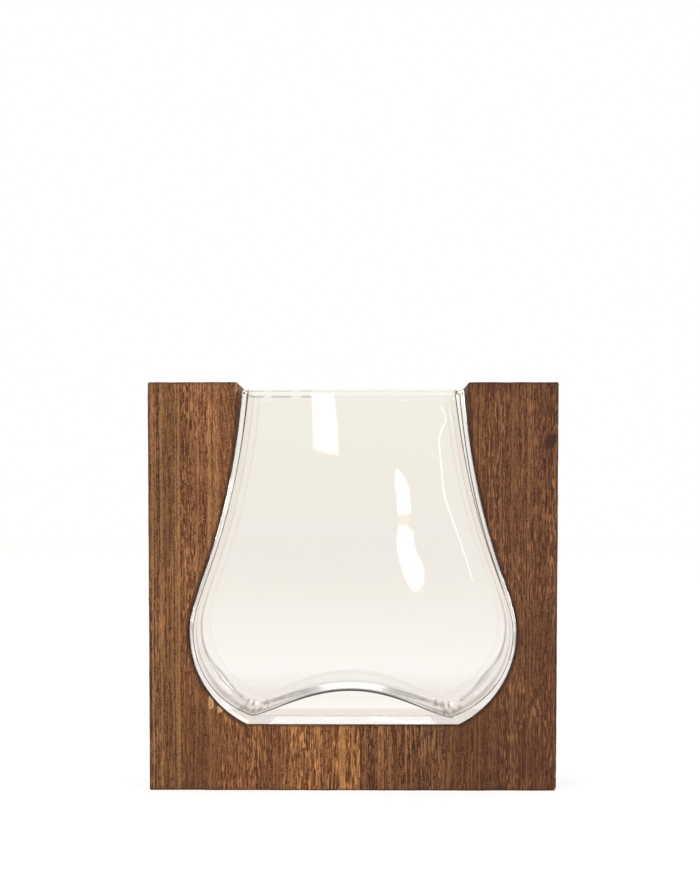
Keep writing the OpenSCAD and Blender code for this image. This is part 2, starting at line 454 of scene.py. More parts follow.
def hollow_wall(line, y):
    """Drawn streaks that follow the flanks, and crinkles in the troughs."""
    height = line[:, 1]
    low = 1 - rise(height, DRAWN_FADE)
    drawn = np.sin(y / DRAWN_PITCH + 3 * np.sin(height / DRAWN_SWAY))
    edge = smooth((1 - abs(y) / HOLLOW_DEPTH) * 4)
    return (DRAWN_WAVE * low * drawn + CRINKLE_WAVE * crinkles(line, y)) * edge


def lens_share(line):
    """1 in the middle of the two places where the hump's flanks bend the view like lenses."""
    share = sum(np.exp(-((line[:, 0] - x) / LENS_REACH) ** 2) for x in LENS_X)
    return share * (line[:, 1] < LENS_TOP)


def under_lip(height):
    """1 on the walls, falling to 0 at the lip, which stays clear."""
    return smooth((VASE_H - LIP_H - height) / LIP_FADE)


def hollow_painted_shade(line, y, along):
    """How much painted shade darkens the hollow's surface: its front edge, its folds and streaks.

    along runs from 0 to 1 through the front edge's rounding and from 2 to 3 through the back's.
    """
    height = line[:, 1]
    on_hump = hump_share(line)
    edge = (
        HOLLOW_SHADE["edge"] + HOLLOW_SHADE["neck"] * rise(height, NECK_SHADE)
        + HOLLOW_SHADE["foot"] * floor_share(line) + HOLLOW_SHADE["hump"] * on_hump
    )
    middle = rise(height, RIGHT_EASE_FROM) * (1 - rise(height, RIGHT_EASE_TO))
    edge = edge * (1 - RIGHT_EASE * middle * (line[:, 0] > 0))
    front = edge * math.sin(math.pi * min(along, 1)) ** 0.5
    past_edge = along > 1
    folds = HOLLOW_SHADE["folds"] * smooth(crinkles(line, y) * 4 - 0.4) * past_edge
    low = 1 - rise(height, STREAK_FADE)
    streaks = HOLLOW_SHADE["streaks"] * low * smooth(drawn_streaks(line, y) * 3 - 0.6) * past_edge
    lens = HOLLOW_SHADE["lens"] * lens_share(line) * (LENS_ALONG[0] < along < LENS_ALONG[1])
    brink = HOLLOW_SHADE["brink"] * on_hump * (BRINK_ALONG[0] < along < BRINK_ALONG[1])
    return np.clip(front + folds + streaks + lens + brink, 0, 1) * under_lip(height)


def outer_painted_shade(line, y, along):
    """Painted shade on the outer flanks: faint dark lines that follow the outline."""
    height = line[:, 1]
    flank = rise(height, OUTER_SHADE_FROM) * (1 - 0.5 * rise(height, OUTER_SHADE_EASE))
    edge = OUTER_SHADE["edge"] * math.sin(math.pi * min(along, 1)) ** 0.5
    drawn = smooth(np.sin(y / OUTER_DRAWN_PITCH + height / OUTER_DRAWN_SWAY) * 2.4 - 1.2)
    belly = np.exp(-((height - BELLY_SHADE_H) / BELLY_SHADE_REACH) ** 2)
    flat = OUTER_SHADE["flat"] + OUTER_SHADE["belly"] * belly + OUTER_SHADE["drawn"] * drawn
    return flank * np.clip(edge + flat * (along > 1), 0, 1) * under_lip(height)


def hollow_sheen(points):
    """How much of the hollow's band mirrors at a low angle: a little less up the neck."""
    inside = abs(points[:, 1]) < HOLLOW_DEPTH - BAND_MARGIN
    low = 1 - rise(points[:, 2], SHEEN_FADE)
    return inside * (SHEEN + LOW_SHEEN * low + HUMP_SHEEN * hump_share(points[:, [0, 2]]))


def hollow_gleam(points):
    """Where the hollow mirrors white: the hump's back edge and the tops of the folds."""
    y = points[:, 1]
    line = points[:, [0, 2]]
    radius = hollow_back_r(line)
    back = smooth((y - HOLLOW_DEPTH + radius * GLEAM_START) / GLEAM_EDGE)
    back = back * (y < HOLLOW_DEPTH - GLEAM_END * radius)
    on_hump = np.minimum(HUMP_GLEAM_BREADTH * hump_share(line) * floor_share(line), 1)
    edge = back * (GLEAM["flank"] + (GLEAM["hump"] - GLEAM["flank"]) * on_hump)
    edge = np.maximum(edge, GLEAM["hump top"] * on_hump * (y > FRONT_R["hump"] - HOLLOW_DEPTH))
    edge = edge * (1 - np.clip(lens_share(line), 0, 1))
    folds = GLEAM["folds"] * smooth(-crinkles(line, y) * 3 - 0.4)
    return np.clip(edge + folds, 0, 1) * (abs(y) < HOLLOW_DEPTH - BAND_MARGIN)


# How soon the waves of a face begin away from its edges
FACE_HOLD = 9


def three_sides(ring):
    """The left side upwards, the floor and the right side of a ring of points or numbers."""
    corner = SIDE_COUNT + FLOOR_COUNT
    return ring[SIDE_COUNT::-1], ring[SIDE_COUNT:corner + 1], ring[corner:]


def shell(front_line, back_line, depth, radii, waves, painted_shade):
    """A shell of glass, open at its top: two flat faces and a band, with rounded edges between.

    Returns its points, how dark each is, its faces, the loop of point numbers round its top, and
    how many of the points are on the band.
    """
    front_r, back_r = radii
    face_wave, wall_wave = waves
    top = front_line[0, 1]
    steps = stations(depth, front_r(front_line), back_r(front_line))
    rings = []
    dark = []
    for number, (y, inset) in enumerate(steps):
        share = (y + depth) / (2 * depth)
        domed = hump_share(front_line)
        share = (1 - domed) * share ** 2 + domed * (1 - (1 - share) ** 2)
        line = front_line + (back_line - front_line) * share[:, None]
        line = line - sideways(line) * (inset + wall_wave(line, y))[:, None]
        line[[0, -1], 1] = top
        rings.append(np.stack([line[:, 0], y, line[:, 1]], 1))
        back_number = number - (len(steps) - 1 - FILLET_STEPS)
        along = number / FILLET_STEPS if back_number < 0 else 2 + back_number / FILLET_STEPS
        if FILLET_STEPS < number and back_number < 0:
            along = 1.5
        # How much painted shade each point of this ring gets
        dark.append(painted_shade(line, y, along))
    count = len(front_line)
    points = list(np.vstack(rings))
    dark = list(np.concatenate(dark))
    band = np.arange(len(rings) * count).reshape(-1, count)
    faces = quads(band)

    def cap(ring, ring_numbers, sign):
        """Fills a flat face between its left side, floor, right side and a straight top."""
        a, b, c = three_sides(ring)
        u = np.linspace(0, 1, FLOOR_COUNT + 1)
        v = np.linspace(0, 1, SIDE_COUNT + 1)
        t = a[-1] + (c[-1] - a[-1]) * u[:, None]
        uu, vv = u[None, :, None], v[:, None, None]
        grid = (
            (1 - vv) * b[None] + vv * t[None] + (1 - uu) * a[:, None] + uu * c[:, None]
            - ((1 - uu) * (1 - vv) * b[0] + uu * (1 - vv) * b[-1] + (1 - uu) * vv * t[0] + uu * vv * t[-1])
        )
        hold = smooth(np.minimum(u, 1 - u) * FACE_HOLD)[None, :] * smooth(v * FACE_HOLD)[:, None]
        grid[:, :, 1] += face_wave(grid[:, :, 0], grid[:, :, 2], sign) * hold
        number = np.full(grid.shape[:2], -1)
        number[:, 0], number[0], number[:, -1] = three_sides(ring_numbers)
        fresh = number < 0
        number[fresh] = len(points) + np.arange(fresh.sum())
        points.extend(grid[fresh])
        dark.extend(np.zeros(fresh.sum()))
        faces.extend(quads(number))
        return number[-1]

    front_top = cap(rings[0], band[0], -1)
    back_top = cap(rings[-1], band[-1], 1)
    loop = np.concatenate([front_top, band[1:-1, -1], back_top[::-1], band[-2:0:-1, 0]])
    return np.array(points), dark, faces, loop, band.size


def lip(outer, inner, outer_loop, inner_loop, base):
    """Points and rows of point numbers of the rounded lip between the two shells' tops."""
    middle = (outer[outer_loop] + inner[inner_loop]) / 2
    half = (outer[outer_loop] - inner[inner_loop]) / 2
    points = []
    rows = [outer_loop]
    for step in range(1, LIP_STEPS):
        angle = math.pi * step / LIP_STEPS
        out = math.copysign(abs(math.cos(angle)) ** LIP_SQUARENESS, math.cos(angle))
        up = np.array([0, 0, LIP_H * math.sin(angle) ** LIP_SQUARENESS])
        rows.append(base + len(points) + np.arange(len(outer_loop)))
        points.extend(middle + half * out + up)
    rows.append(len(outer) + inner_loop)
    return points, rows


# Painted shade of the broken line along the back rim
RIM_DASH = 0.5
RIM_DASH_NOISE = (5 * MM, 8)
RIM_DASH_SPAN = (18 * MM, 4 * MM)
GROUND_SPAN = (PAD_HALF, 0.5 * MM)
GROUND_MARGIN = 0.02 * MM


def rim_shade_dashes(points, loop):
    """A thin broken line of painted shade along the left part of the back rim."""
    dark = np.zeros(len(points))
    at = points[loop]
    broken = smooth(noise(at, *RIM_DASH_NOISE) * 4 + 1)
    dark[loop] = RIM_DASH * broken * (at[:, 1] > 0) * rise(-at[:, 0], RIM_DASH_SPAN)
    return dark


def make_glass():
    """The vase as one closed mesh: outer shell, hollow and rounded lip."""
    outline = one_line(outer_outline())
    outer, outer_dark, faces, outer_loop, _ = shell(
        outline, outline, DEPTH_HALF, (outer_r, outer_r), (outer_face_wave, plain_wall), outer_painted_shade,
    )
    front, back = one_line(hollow_outline(FRONT_FLOOR)), one_line(hollow_outline(BACK_FLOOR))
    inner, inner_dark, inner_faces, inner_loop, band = shell(
        front, back, HOLLOW_DEPTH, (hollow_front_r, hollow_back_r),
        (hollow_face_wave, hollow_wall), hollow_painted_shade,
    )
    inner_dark = np.array(inner_dark) + rim_shade_dashes(inner, inner_loop)
    base = len(outer) + len(inner)
    lip_points, rows = lip(outer, inner, outer_loop, inner_loop, base)
    faces = faces + (len(outer) + np.array(inner_faces)).tolist() + quads(rows, closed=True)
    points = np.vstack([outer, inner, lip_points]) + np.array([0, 0, FOOT_Z])
    glass = mesh_object("blown_glass", points, faces)
    # The dark values are painted shade: a near-black diffuse mixed into the glass
    keep_value(glass, "dark", np.concatenate([outer_dark, inner_dark, np.zeros(len(lip_points))]))
    for name, values in (("sheen", hollow_sheen), ("gleam", hollow_gleam)):
        share = np.zeros(len(points))
        share[len(outer):len(outer) + band] = values(inner[:band])
        keep_value(glass, name, share)
    under = points[:, 2] < FOOT_Z + FOOT_LIFT + GROUND_MARGIN
    keep_value(glass, "ground", under * rise(abs(points[:, 0]), GROUND_SPAN))
    glass.data.materials.append(clear_glass())
    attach(glass, "vase")
    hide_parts("glass_vase")


# Wooden staves
EASED_R = 0.9 * MM
GRID_STEP = 0.65 * MM
NEAR_SHARES = (0, 0.13, 0.5)
BAND_SHARES = (0.02, 0.06, 0.15, 0.29, 0.43, 0.57, 0.71, 0.85, 0.94, 0.98)
ARRIS_REACH = 1.6 * MM
WEAR_REACH = 6 * MM
EDGE_WEAR = 0.22 * MM
FACE_WEAR = 0.06 * MM
UNDER_WEAR = 0.3
GLUED_BELOW = 0.02 * MM
EASE_NOISE = (7 * MM, 1)
FACE_NOISE = (9 * MM, 2)
COARSE_WEAR_NOISE = (5 * MM, 3)
FINE_WEAR_NOISE = (1.6 * MM, 4)
CHIP_NOISE = ((1.1 * MM, 1.1 * MM, 2.6 * MM), 9)
CHIP_RAGGED = 0.35
RAW_DEPTH = 0.3 * MM

# Places where the arris has chipped off: centre, half sizes, and the way into the wood
CHIPS = (
    ((-70.4, -25.4, 44.8), (1.3, 0.9, 3.4), (0.0, 1.0, 0.0)),
    ((-66.0, -25.4, 41.3), (1.4, 0.8, 2.2), (0.0, 1.0, 0.0)),
    ((-57.3, -25.4, 200.4), (0.6, 0.6, 2.6), (-0.7, 0.7, 0.0)),
    ((101.5, -25.4, 7.0), (0.8, 0.6, 4.2), (-0.7, 0.7, 0.0)),
    ((101.5, -25.4, 0.0), (1.3, 1.2, 1.8), (-0.6, 0.5, 0.6)),
    ((-96.0, -25.4, 203.0), (1.2, 0.7, 0.5), (0.0, 0.7, -0.7)),
    ((72.0, -25.4, 203.0), (1.6, 0.6, 0.4), (0.0, 0.7, -0.7)),
    ((-101.5, 25.4, 150.0), (0.8, 0.7, 3.0), (0.7, -0.7, 0.0)),
    ((80.0, 25.4, 0.0), (2.2, 0.8, 0.6), (0.0, -0.7, 0.7)),
)


def cut_line():
    """Right side of the cut-out from the sill to the block's top, as points (x, z)."""
    flank = outer_flank()
    start = VASE_H * GAP_START_SHARE
    widened = np.clip((flank[:, 1] - start) / (VASE_H - start), 0, None)
    gap = FIT_GAP + (NECK_GAP - FIT_GAP) * widened
    line = flank + gap[:, None] * sideways(flank)
    foot = [np.interp(0, line[:, 1], line[:, 0]), 0]
    line = np.vstack([foot, line[line[:, 1] > 0]])
    a = np.linspace(0, math.pi / 2, 8)
    top = BLOCK_TOP - FOOT_Z
    corner = np.stack([
        line[-1, 0] + SLOT_CORNER_R * (1 - np.cos(a)), top - SLOT_CORNER_R * (1 - np.sin(a)),
    ], 1)
    return np.vstack([line, corner]) + np.array([0, FOOT_Z])


CUT = cut_line()
WIDEST = CUT[:, 0].argmax()
NECK_X = CUT[WIDEST:, 0].min()
NARROWEST = WIDEST + CUT[WIDEST:, 0].argmin()


def eased_corner(distance, r):
    """How far a rounded corner stands back at a distance from it."""
    return r - np.sqrt(np.clip(r ** 2 - np.clip(r - distance, 0, r) ** 2, 0, None))


def cut_x(z):
    return np.interp(z, CUT[:, 1], CUT[:, 0])


def side_x(z):
    """Half width of the block at a height, with its rounded corners."""
    return BLOCK_HALF - eased_corner(z, EASED_R) - eased_corner(BLOCK_TOP - z, EASED_R)


def under_cut(x):
    """Height of the wood under the cut-out."""
    return np.interp(abs(x), CUT[:WIDEST + 1, 0], CUT[:WIDEST + 1, 1])


def over_cut(x):
    """Height where the wood beside the neck begins."""
    return np.interp(abs(x), CUT[WIDEST:NARROWEST + 1, 0][::-1], CUT[WIDEST:NARROWEST + 1, 1][::-1])


def neck_top(x):
    return BLOCK_TOP - eased_corner(abs(x) - NECK_X, SLOT_CORNER_R)


def steps_across(width):
    """Distances across each of several widths: close together near both ends, even between."""
    width = np.atleast_1d(width)[:, None]
    r = np.minimum(EASED_R, width / 4)
    near = r * np.array(NEAR_SHARES)[None, :]
    count = int(width.max() / GRID_STEP) + 2
    middle = r + (width - 2 * r) * np.linspace(0, 1, count)[None, :]
    return np.hstack([near, middle, width - near[:, ::-1]])


def upright_grid(x_from, x_to):
    """Points (x, z) of a full-height stave, whose two sides follow functions of the height."""
    z = steps_across(BLOCK_TOP)[0]
    start = x_from(z)
    across = steps_across(x_to(z) - start)
    return np.stack([start[:, None] + across, np.repeat(z[:, None], across.shape[1], 1)], 2)


def short_grid(x_low, x_high, z_from, z_to):
    """Points (x, z) of a short stave, whose two ends follow functions of x."""
    x = x_low + steps_across(x_high - x_low)[0]
    start = z_from(x)
    along = steps_across(z_to(x) - start)
    return np.stack([np.repeat(x[:, None], along.shape[1], 1), start[:, None] + along], 2).swapaxes(0, 1)


def outline_distance(points):
    """Distance from each point (x, z) to the nearest outer edge of the sawn block."""
    flip = np.array([-1, 1])
    cut = resample(CUT, 260)
    sill = np.array([CUT[0] * flip, CUT[0]])
    corner = np.linspace(0, EASED_R, 9)
    height = np.r_[corner, BLOCK_TOP - corner[::-1]]
    right = np.stack([side_x(height), height], 1)
    around = np.vstack([right, right[::-1] * flip, right[:1]])
    best = np.full(len(points), BLOCK_TOP)
    for line in (cut, cut * flip, sill, around):
        for a, b in zip(line, line[1:]):
            ab = b - a
            t = np.clip((points - a) @ ab / max(ab @ ab, 1e-12), 0, 1)
            best = np.minimum(best, np.linalg.norm(points - a - t[:, None] * ab, axis=1))
    return best


def chipped(points):
    """Pushes the points inside each chip into the wood, and tells how deep each one went."""
    raw = np.zeros(len(points))
    for centre, half, way in CHIPS:
        half = np.array(half) * MM
        centre = np.array(centre) * MM
        ragged = 1 + CHIP_RAGGED * noise(points, *CHIP_NOISE)
        q = (points - centre) / (half * ragged[:, None])
        n = np.array(way) / half
        b, c = q @ n, (q ** 2).sum(1) - 1
        inside = c < 0
        push = np.where(inside, (-b + np.sqrt(np.clip(b * b - c * (n @ n), 0, None))) / (n @ n), 0)
        points = points + push[:, None] * np.array(way)
        raw = np.maximum(raw, np.clip(push / RAW_DEPTH, 0, 1))
    return points, raw


def worn(points):
    """Outer edges that long use has made slightly uneven."""
    x, z = points[:, 0], points[:, 2]
    place = points * np.array([1, 0.4, 1])
    rough = 0.5 + 0.35 * noise(place, *COARSE_WEAR_NOISE) + 0.15 * noise(place, *FINE_WEAR_NOISE)
    rough = np.clip(rough, 0, 1) * EDGE_WEAR
    reach = (0, WEAR_REACH)
    points = points.copy()
    points[:, 2] -= rough * (1 - rise(BLOCK_TOP - z, reach))
    points[:, 2] += UNDER_WEAR * rough * (1 - rise(z, reach))
    points[:, 0] -= np.sign(x) * rough * (1 - rise(BLOCK_HALF - abs(x), reach))
    return points


def make_stave(node, grid, material):
    """A stave as a closed mesh from its front view, eased and worn where it isn't glued."""
    rows, columns = grid.shape[:2]
    flat = grid.reshape(-1, 2)
    free = outline_distance(flat)
    free[free < GLUED_BELOW] = 0
    upright = np.stack([flat[:, 0], np.zeros(len(flat)), flat[:, 1]], 1)
    r = EASED_R * (0.95 + 0.45 * noise(upright, *EASE_NOISE))
    worn_away = FACE_WEAR * (0.5 + 0.5 * noise(upright, *FACE_NOISE))
    face_y = BLOCK_FACE - eased_corner(free, r) - worn_away
    number = np.arange(rows * columns).reshape(rows, columns)
    rim = np.r_[number[0, :-1], number[:-1, -1], number[-1, :0:-1], number[:0:-1, 0]]
    front = np.stack([flat[:, 0], -face_y, flat[:, 1]], 1)
    back = front * np.array([1, -1, 1])
    bands = [front[rim] + (back[rim] - front[rim]) * share for share in BAND_SHARES]
    points = np.vstack([front, back] + bands)
    total = rows * columns
    loops = [2 * total + k * len(rim) + np.arange(len(rim)) for k in range(len(bands))]
    loops = [rim] + loops + [total + rim]
    faces = quads(number) + quads(total + number) + quads(loops, closed=True)

    def everywhere(values):
        """Values of the face's points, for both faces and the bands between."""
        return np.concatenate([values, values] + [values[rim]] * len(bands))

    arris = np.hypot(everywhere(free), BLOCK_FACE - abs(points[:, 1]))
    sides = np.zeros(len(flat))
    sides[rim] = 1
    seam = everywhere(sides * (free > 0))
    points, raw = chipped(worn(points))
    stave = mesh_object(node.replace("stave", "board"), points, faces)
    keep_value(stave, "arris", 1 - rise(arris, (0, ARRIS_REACH)))
    keep_value(stave, "raw", raw)
    keep_value(stave, "seam", seam)
    stave.data.materials.append(material)
    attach(stave, "block")
    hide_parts(node)


# A board's tone, slant of the grain, how far it leans over at the top, amount of flecks and of
# long lines, place in the texture, how dark the very top is, how much painted shade darkens the
# lower part, and contrast
Board = namedtuple("Board", "tone slant lean flecks lines shift stain low contrast")
BOARDS = {
    "left_edge_wood": Board(srgb(118, 76, 45), 0.004, 0.0, 0.6, 0.6, 3.1, 0.0, 0.0, 1.0),
    "left_flank_wood": Board(srgb(131, 84, 51), -0.006, 0.0, 0.6, 0.7, 7.7, 0.0, 0.5, 1.1),
    "left_third_wood": Board(srgb(133, 85, 51), 0.01, 0.007, 0.75, 0.5, 12.9, 0.0, 0.15, 1.0),
    "sill_left_wood": Board(srgb(137, 88, 51), -0.03, 0.0, 1.0, 0.7, 18.3, 0.0, 0.0, 1.2),
    "sill_centre_wood": Board(srgb(115, 72, 43), 0.0, 0.0, 0.8, 1.0, 23.8, 0.0, 0.0, 1.6),
    "sill_right_wood": Board(srgb(107, 68, 41), 0.02, 0.0, 0.8, 1.0, 29.2, 0.0, 0.0, 1.35),
    "right_seventh_wood": Board(srgb(112, 70, 42), -0.01, 0.0, 0.4, 0.6, 34.6, 0.16, 0.1, 0.65),
    "right_edge_wood": Board(srgb(109, 68, 42), 0.008, 0.0, 0.8, 0.5, 41.5, 0.16, 0.25, 0.7),
}
# Shades of a board, each made from an earlier one by three factors
SHADES = (
    ("dark", "tone", (0.5, 0.42, 0.35)),
    ("light", "tone", (2.0, 2.3, 2.4)),
    ("bright", "tone", (1.6, 1.75, 1.8)),
    ("deep", "dark", (0.7, 0.7, 0.75)),
    ("line", "light", (1.15, 1.2, 1.2)),
    ("fleck", "light", (1.7, 1.7, 1.6)),
    ("pore", "dark", (0.6, 0.6, 0.6)),
    ("knot", "dark", (0.55, 0.6, 0.7)),
    ("stain", "dark", (0.4, 0.4, 0.4)),
    ("arris", "dark", (0.42, 0.42, 0.42)),
    ("seam", "dark", (0.5, 0.5, 0.5)),
)
# Layers of the grain: cells per metre across and along, detail and roughness, the range that is
# used, and the weight in the whole
GRAIN_LAYERS = {
    "strands": ((1500, 8, 1, 0.6), (0.3, 0.7), 0.1),
    "bands": ((150, 3, 2, 0.5), (0.3, 0.7), 0.1),
    "fibres": ((1900, 55, 1, 0.7), (0.36, 0.64), 0.14),
    "threads": ((2150, 60, 0, 0.5), (0.33, 0.67), 0.16),
}
CELL_LAYERS = {"speckle": ((2100, 1150), 0.3), "rays": ((1950, 7), 0.2)}
SHADE_STOPS = ((0.27, "deep"), (0.39, "dark"), (0.52, "tone"), (0.68, "bright"))
# Where a layer starts and ends, and how strong it is there unless that is 0 and 1
RANGES = {
    "dark line": (0.16, 0.12, 0.0, 0.8), "pale line": (0.85, 0.89), "broken line": (0.0, 0.8, 0.5, 1.0),
    "patches": (0.38, 0.6, 0.3, 1.0), "dashes": (0.59, 0.64), "pores": (0.33, 0.27, 0.0, 0.6),
    "knot": (0.3, 0.8, 0.0, 0.85), "arris": (0.2, 0.8, 0.95, 0.55), "raw": (0.25, 0.6),
    "roughness": (0.2, 0.8, 0.66, 0.52),
}
SEAM_SHARE = 0.55
BUMP = {"Strength": 0.35, "Distance": 0.2 * MM}
WOOD_SHINE = 0.22
LONG_LINES = (1900, 2)
PATCHES = (80, 24, 2)
DASHES = (2300, 190, 0)
PORES = (2000, 85, 1)
DRIFT_CELLS = {"Scale": 22.0, "Detail": 1.0}
DRIFT_SHIFT = (0.0016, 0.0016, 0.0)
SHIFT_SHARES = (1, 0.7, 1.3)
LEAN_Z = (110 * MM, 200 * MM)
# Heights over which painted shade darkens the lower part of a board
LOW_SHADE_Z = (25 * MM, 110 * MM)
STAIN_Z = 196.4 * MM
STAIN_EDGE = 0.3 * MM
STAIN_WAVE = 0.6 * MM
RAW_WOOD = srgb(226, 186, 134)
RAW_SHADE = srgb(192, 140, 88)

# Pale and dark growth lines over the front: place across, half width and strength
PALE_LINES = (
    (-98.8, 0.5, 0.8), (-97.2, 0.25, 0.5), (-94.5, 0.55, 0.7), (-85.8, 0.6, 0.9),
    (-70.6, 0.8, 0.7), (-67.4, 1.9, 0.35), (-25.6, 0.4, 0.6), (-16.2, 0.4, 0.6), (-4.7, 1.5, 0.85),
    (3.0, 0.4, 0.5), (13.4, 0.6, 0.8), (19.0, 0.4, 0.8), (27.2, 0.3, 0.8), (34.8, 0.4, 0.6),
    (61.2, 0.3, 0.5), (63.6, 0.3, 0.6), (79.2, 0.6, 0.5), (87.0, 0.3, 0.5),
)
DARK_LINES = (
    (-91.5, 1.6, 0.25), (-83.6, 0.3, 0.5), (-64.4, 1.0, 0.4), (-7.6, 0.8, 0.7), (-2.6, 0.3, 0.8),
    (4.7, 0.9, 0.7), (10.7, 0.9, 0.7), (17.2, 0.3, 0.8), (21.4, 0.4, 0.8), (33.0, 0.6, 0.4),
)
LINE_WAVER = 0.8 * MM
KNOT = (97.8 * MM, 174.0 * MM)
KNOT_SIZE = (3.6 * MM, 5.2 * MM)
KNOT_PUSH = 2.2 * MM


class Tree:
    """The nodes of a material or world, which are added with their inputs in one call."""

    def __init__(self, owner):
        owner.use_nodes = True
        self.owner = owner
        self.nodes = owner.node_tree.nodes
        self.links = owner.node_tree.links
        self.nodes.clear()

    def add(self, kind, inputs=None, **settings):
        node = self.nodes.new("ShaderNode" + kind)
        for key, value in settings.items():
            setattr(node, key, value)
        for key, value in (inputs or {}).items():
            if isinstance(value, bpy.types.NodeSocket):
                self.links.new(value, node.inputs[key])
            else:
                node.inputs[key].default_value = value
        return node

    def math(self, operation, a, b=0.0, c=0.0):
        return self.add("Math", {0: a, 1: b, 2: c}, operation=operation).outputs[0]

    def mix(self, share, a, b):
        return self.add("Mix", {0: share, 6: a, 7: b}, data_type="RGBA").outputs[2]

    def blend(self, share, a, b):
        return self.add("MixShader", {0: share, 1: a, 2: b}).outputs[0]

    def spread(self, value, low, high, a=0.0, b=1.0):
        return self.add("MapRange", {0: value, 1: low, 2: high, 3: a, 4: b}).outputs[0]

    def point_value(self, name):
        return self.add("Attribute", attribute_name=name).outputs["Fac"]

    def ramp(self, value, stops):
        node = self.add("ValToRGB", {0: value})
        ramp = node.color_ramp
        while len(ramp.elements) < len(stops):
            ramp.elements.new(0.5)
        for element, (place, colour) in zip(ramp.elements, stops):
            element.position = place
            element.color = colour
        return node.outputs[0]

    def looked_at(self):
        """1 for rays from the camera, straight, through glass or off it, and 0 for others."""
        path = self.add("LightPath").outputs
        seen = self.math("MAXIMUM", path["Is Camera Ray"], path["Is Transmission Ray"])
        return self.math("MAXIMUM", seen, path["Is Glossy Ray"])

    def finish(self, surface, kind="OutputMaterial", **more):
        self.add(kind, {"Surface": surface, **more})
        return self.owner


def new_material(name):
    return Tree(bpy.data.materials.new(name))


def times(colour, factors):
    """A colour made darker or lighter, by one factor for each of its parts."""
    return tuple(min(1.0, c * f) for c, f in zip(colour, factors)) + (1.0,)


def drawn_lines(t, across, lines):
    """Upright lines at set places across the block."""
    total = 0.0
    for x, half, strength in lines:
        on_line = t.math("COMPARE", across, x * MM, half * MM)
        total = t.math("MULTIPLY_ADD", on_line, strength, total)
    return total


def knot_share(t, x, z):
    """1 in the middle of the knot, falling to 0 round it."""
    u = t.math("MULTIPLY_ADD", x, 1 / KNOT_SIZE[0], -KNOT[0] / KNOT_SIZE[0])
    v = t.math("MULTIPLY_ADD", z, 1 / KNOT_SIZE[1], -KNOT[1] / KNOT_SIZE[1])
    square = t.math("MULTIPLY_ADD", u, u, t.math("MULTIPLY", v, v))
    return t.math("EXPONENT", t.math("MULTIPLY", square, -1.0))


def board_shades(tone):
    """Every shade of a board by name."""
    shades = {"tone": tone}
    for name, base, factors in SHADES:
        shades[name] = times(shades[base], factors)
    return shades


class Grain:
    """Where each point of a board lies in the grain, and textures drawn out along it."""

    def __init__(self, t, board, place, z, knot):
        up = t.spread(z, *LEAN_Z)
        lean = t.math("MULTIPLY", t.math("MULTIPLY", up, up), board.lean)
        aside = t.add("CombineXYZ", {0: t.math("MULTIPLY_ADD", knot, KNOT_PUSH, lean)}).outputs[0]
        shifted = t.add("Mapping", {
            "Vector": t.add("VectorMath", {0: place, 1: aside}).outputs[0],
            "Location": [board.shift * share for share in SHIFT_SHARES], "Rotation": (0, board.slant, 0),
        }).outputs[0]
        self.t = t
        self.drift = t.add("TexNoise", {"Vector": shifted, **DRIFT_CELLS}).outputs["Color"]
        self.place = t.add(
            "VectorMath", {0: self.drift, 1: DRIFT_SHIFT, 2: shifted}, operation="MULTIPLY_ADD",
        ).outputs[0]

    def scaled(self, across, along):
        return self.t.add("Mapping", {"Vector": self.place, "Scale": (across, across, along)}).outputs[0]

    def streaks(self, across, along, detail, rough=0.5):
        return self.t.add("TexNoise", {
            "Vector": self.scaled(across, along), "Scale": 1.0, "Detail": detail, "Roughness": rough,
        }).outputs["Fac"]

    def cells(self, across, along):
        whole = self.t.add("VectorMath", {0: self.scaled(across, along)}, operation="FLOOR")
        return self.t.add("TexWhiteNoise", {"Vector": whole.outputs[0]}).outputs["Value"]


def grain_value(t, grain, contrast):
    """How light the bare grain is, from about 0 to 1, and its layers by name."""
    layers = {}
    value = 0.0
    for name, (scales, (low, high), weight) in GRAIN_LAYERS.items():
        layers[name] = t.spread(grain.streaks(*scales), low, high)
        value = t.math("MULTIPLY_ADD", layers[name], weight, value)
    for name, (scales, weight) in CELL_LAYERS.items():
        layers[name] = grain.cells(*scales)
        value = t.math("MULTIPLY_ADD", layers[name], weight, value)
    return t.math("MULTIPLY_ADD", value, contrast, 0.5 - 0.5 * contrast), layers


def lined_colour(t, grain, board, shade, value, speckle, x):
    """Colour of the bare grain with its long lines, and the growth lines at set places."""
    colour = t.ramp(value, [(place, shade[name]) for place, name in SHADE_STOPS])
    drawn = grain.cells(*LONG_LINES)
    low_line = t.math("MULTIPLY", t.spread(drawn, *RANGES["dark line"]), board.lines)
    colour = t.mix(low_line, colour, shade["dark"])
    waver = t.add("SeparateXYZ", {0: grain.drift}).outputs["X"]
    across = t.math("MULTIPLY_ADD", waver, LINE_WAVER, x)
    line = t.math("MULTIPLY", t.spread(drawn, *RANGES["pale line"]), board.lines)
    line = t.math("MAXIMUM", line, drawn_lines(t, across, PALE_LINES))
    line = t.math("MULTIPLY", line, t.spread(speckle, *RANGES["broken line"]))
    colour = t.mix(line, colour, shade["line"])
    return t.mix(drawn_lines(t, across, DARK_LINES), colour, shade["dark"])


def flecked_colour(t, grain, board, shade, colour, z):
    """Adds the pale flecks and the painted shade that darkens the lower part."""
    patches = t.spread(grain.streaks(*PATCHES), *RANGES["patches"])
    dashes = t.spread(grain.streaks(*DASHES), *RANGES["dashes"])
    dashes = t.math("MULTIPLY", dashes, t.math("MULTIPLY", patches, board.flecks))
    colour = t.mix(dashes, colour, shade["fleck"])
    return t.mix(t.spread(z, LOW_SHADE_Z[1], LOW_SHADE_Z[0], 0.0, board.low), colour, shade["dark"])


